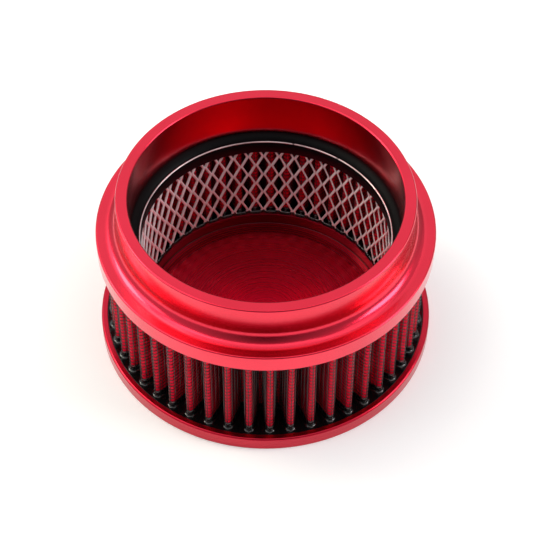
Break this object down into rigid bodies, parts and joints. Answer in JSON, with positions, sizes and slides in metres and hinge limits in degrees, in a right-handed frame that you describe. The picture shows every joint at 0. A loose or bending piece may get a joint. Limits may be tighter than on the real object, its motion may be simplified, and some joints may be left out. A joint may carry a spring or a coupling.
{
  "type": "motorcycle air filter",
  "caption": "Round motorcycle air filter: closed metal base, pleated cotton element under wire gauze, expanded metal core and a flanged spigot outlet.",
  "frame": {"origin": "centre of the base's underside", "axes": "+Z along the filter's axis, from the closed base to the open outlet; +X and +Y are across it, and a tip of the pleated pack lies 1.75 degrees from +X"},
  "size_m": [0.142, 0.142, 0.0771],
  "materials": {
    "anodised_collar": "turned and red anodised, satin gloss",
    "anodised_base": "turned and red anodised, satin gloss",
    "upper_potting": "moulded polyurethane, glossy black",
    "lower_potting": "cast polyurethane, glossy black",
    "outer_gauze": "woven wire with a black epoxy coat",
    "inner_gauze": "woven wire with a black epoxy coat",
    "cotton": "oiled cotton gauze, deep red",
    "expanded_sheet": "bare expanded sheet",
    "seam_metal": "bare strip"
  },
  "bodies": {
    "root": {"outlet_collar": "anodised_collar", "base_cap": "anodised_base", "upper_potting_ring": "upper_potting", "lower_potting_ring": "lower_potting", "outer_wire_screen": "outer_gauze", "inner_wire_screen": "inner_gauze", "cotton_ply_1": "cotton", "cotton_ply_2": "cotton", "cotton_ply_3": "cotton", "cotton_ply_4": "cotton", "core_sleeve": "expanded_sheet", "seam_strip": "seam_metal"}
  },
  "joints": []
}
